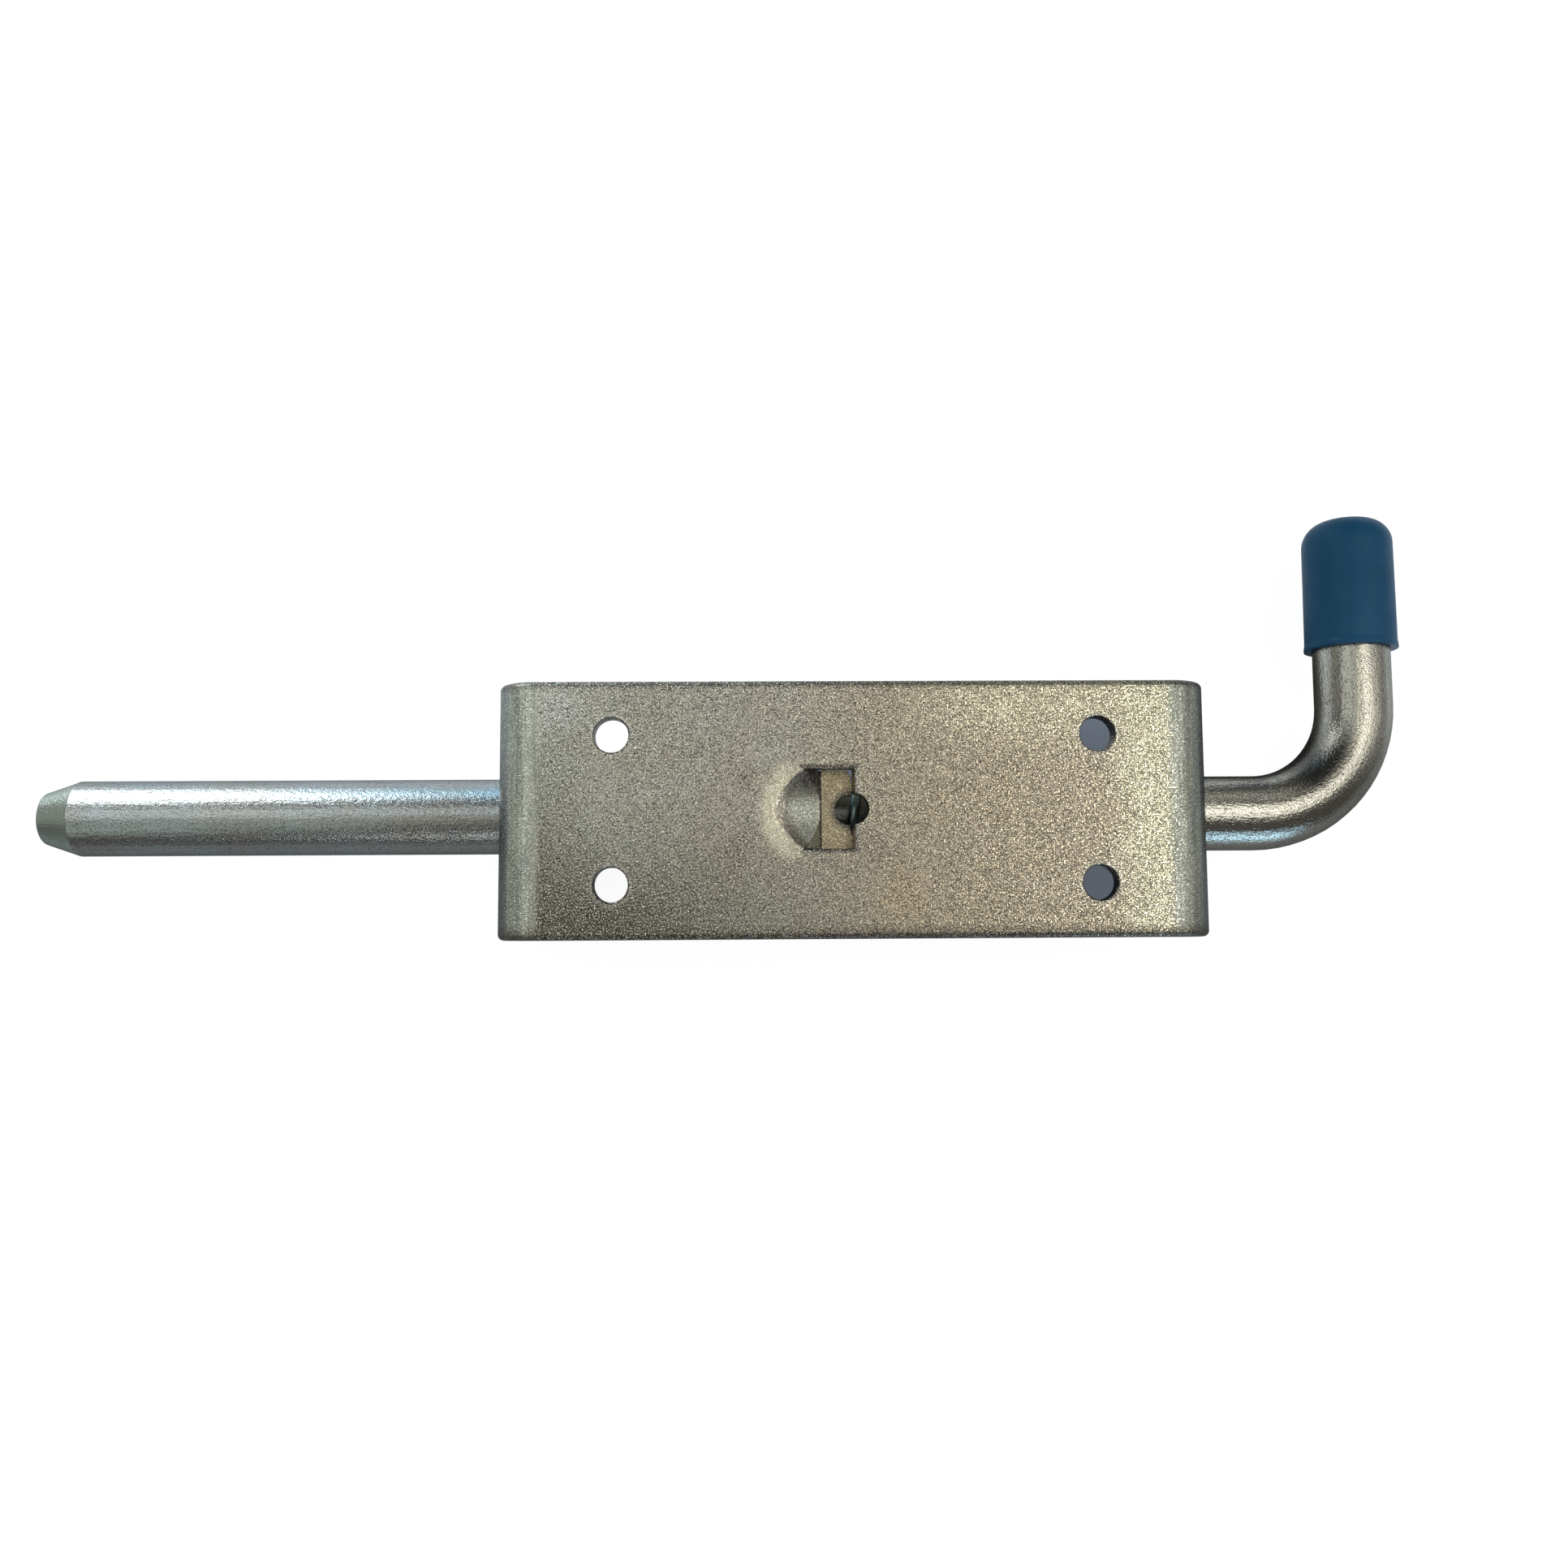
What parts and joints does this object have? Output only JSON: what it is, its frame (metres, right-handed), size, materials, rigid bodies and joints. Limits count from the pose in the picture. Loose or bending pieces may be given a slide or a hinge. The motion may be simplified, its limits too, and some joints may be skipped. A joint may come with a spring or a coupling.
{
  "type": "spring loaded bolt",
  "caption": "Round bolt with a bent, capped handle that a spring drives out of a folded bracket with fixing holes; a pressed nose holds it drawn back when it is turned.",
  "frame": {"origin": "middle of the four fixing holes, on the mounting face of the bracket", "axes": "+Z leaves the mounting face towards what the bracket is fixed to, +X runs along the bolt to its handle end, and +Y is the way the handle points at rest"},
  "size_m": [0.2899, 0.09, 0.036],
  "materials": {
    "bracket_zinc": "zinc plated sheet with a fine grainy surface, satin",
    "bolt_zinc": "zinc plated drawn bar, satin, slightly grainy",
    "cap_plastic": "soft blue plastic, satin",
    "pin_steel": "ground steel, zinc plated",
    "washer_zinc": "zinc plated, punched",
    "spring_wire": "zinc plated spring wire"
  },
  "bodies": {
    "bracket": {"bracket": "bracket_zinc", "spring": "spring_wire"},
    "slider": {"washer": "washer_zinc"},
    "bolt": {"bolt": "bolt_zinc", "handle_cap": "cap_plastic", "cross_pin": "pin_steel"}
  },
  "joints": [
    {"name": "bolt_slide", "type": "slide", "parent": "bracket", "child": "slider", "axis": [1, 0, 0], "range_m": [0, 0.07], "stiffness_N_per_m": 600, "springref_m": -0.02, "deforming": ["spring"]},
    {"name": "bolt_turn", "type": "hinge", "parent": "slider", "child": "bolt", "pos_m": [0, 0, -0.02], "axis": [1, 0, 0], "continuous": true}
  ]
}
